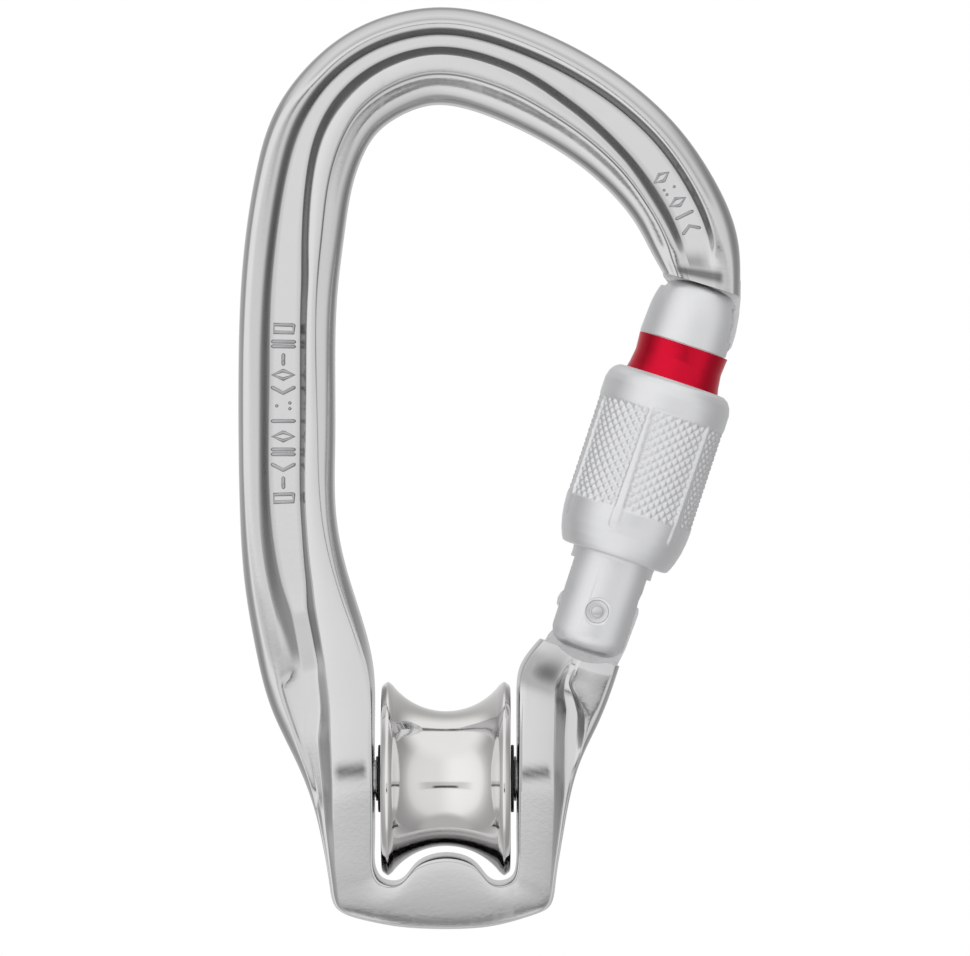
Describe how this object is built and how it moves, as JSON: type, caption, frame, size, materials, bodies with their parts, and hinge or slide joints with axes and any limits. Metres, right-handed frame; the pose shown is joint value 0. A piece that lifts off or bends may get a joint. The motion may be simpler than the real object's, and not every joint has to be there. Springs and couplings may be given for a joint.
{
  "type": "rope pulley",
  "caption": "Rope pulley combined with a screw-gate connector: a forged loop hangs from its top bend and its forked lower end holds a grooved sheave on sealed ball bearings.",
  "frame": {"origin": "the anchor seat, the point on the inner crown of the top bend, in the mid-plane of the body, where the load hangs", "axes": "+Z from the sheave up to the anchor, +X from the spine towards the gate, parallel to the sheave's axle, +Y through the flat of the body towards its back"},
  "size_m": [0.0675, 0.026, 0.1228],
  "materials": {
    "forged_aluminium": "tumbled bright, hot forged",
    "polished_aluminium": "turned and mirror polished",
    "satin_aluminium": "fine satin, clear anodised",
    "red_anodised": "red anodised, satin",
    "bearing_steel": "ground and polished",
    "steel_pin": "ground",
    "spring_wire": "drawn wire",
    "black_rubber": "matt",
    "black_nylon": "matt"
  },
  "bodies": {
    "frame": {"frame": "forged_aluminium", "axle": "steel_pin", "bearing_spacer_tube": "steel_pin", "bearing_inner_race_left": "bearing_steel", "bearing_inner_race_right": "bearing_steel", "dust_washer_left": "black_nylon", "dust_washer_right": "black_nylon", "thrust_washer_left": "steel_pin", "thrust_washer_right": "steel_pin"},
    "sheave": {"sheave": "polished_aluminium", "bearing_outer_race_left": "bearing_steel", "bearing_outer_race_right": "bearing_steel", "bearing_seal_outer_left": "black_rubber", "bearing_seal_inner_left": "black_rubber", "bearing_seal_outer_right": "black_rubber", "bearing_seal_inner_right": "black_rubber"},
    "ball_set_left": {"bearing_cage_left": "black_nylon", "bearing_ball_left_1": "bearing_steel", "bearing_ball_left_2": "bearing_steel", "bearing_ball_left_3": "bearing_steel", "bearing_ball_left_4": "bearing_steel", "bearing_ball_left_5": "bearing_steel", "bearing_ball_left_6": "bearing_steel", "bearing_ball_left_7": "bearing_steel"},
    "ball_set_right": {"bearing_cage_right": "black_nylon", "bearing_ball_right_1": "bearing_steel", "bearing_ball_right_2": "bearing_steel", "bearing_ball_right_3": "bearing_steel", "bearing_ball_right_4": "bearing_steel", "bearing_ball_right_5": "bearing_steel", "bearing_ball_right_6": "bearing_steel", "bearing_ball_right_7": "bearing_steel"},
    "gate": {"gate_barrel": "satin_aluminium", "indicator_band": "red_anodised", "gate_pin": "steel_pin", "gate_spring": "spring_wire"},
    "plunger": {"spring_plunger": "steel_pin"},
    "sleeve_ring": {"sleeve_friction_ring": "black_rubber"},
    "sleeve": {"lock_sleeve": "satin_aluminium"}
  },
  "joints": [
    {"name": "sheave_spin", "type": "hinge", "parent": "frame", "child": "sheave", "pos_m": [0, 0, -0.0901], "axis": [1, 0, 0], "continuous": true},
    {"name": "ball_set_left_spin", "type": "hinge", "parent": "frame", "child": "ball_set_left", "pos_m": [0, 0, -0.0901], "axis": [1, 0, 0], "continuous": true},
    {"name": "ball_set_right_spin", "type": "hinge", "parent": "frame", "child": "ball_set_right", "pos_m": [0, 0, -0.0901], "axis": [1, 0, 0], "continuous": true},
    {"name": "gate_hinge", "type": "hinge", "parent": "frame", "child": "gate", "pos_m": [0.0201, 0, -0.0677], "axis": [0, -1, 0], "range_deg": [0, 25], "stiffness_Nm_per_rad": 0.07, "springref_deg": -22.92, "deforming": ["gate_spring"]},
    {"name": "plunger_slide", "type": "slide", "parent": "gate", "child": "plunger", "axis": [0.3123, 0, 0.95], "range_m": [0, 0.0009]},
    {"name": "sleeve_slide", "type": "slide", "parent": "gate", "child": "sleeve_ring", "axis": [0.3123, 0, 0.95], "range_m": [0, 0.007]},
    {"name": "sleeve_turn", "type": "hinge", "parent": "sleeve_ring", "child": "sleeve", "pos_m": [0.0201, 0, -0.0677], "axis": [0.3123, 0, 0.95], "range_deg": [0, 1262]}
  ],
  "couplings": [
    {"joint": "ball_set_left_spin", "follows": "sheave_spin", "ratio": 0.6175},
    {"joint": "ball_set_right_spin", "follows": "sheave_spin", "ratio": 0.6175},
    {"joint": "plunger_slide", "follows": "gate_hinge", "m_per_rad": 0.0018},
    {"joint": "sleeve_turn", "follows": "sleeve_slide", "rad_per_m": 3141.6}
  ]
}
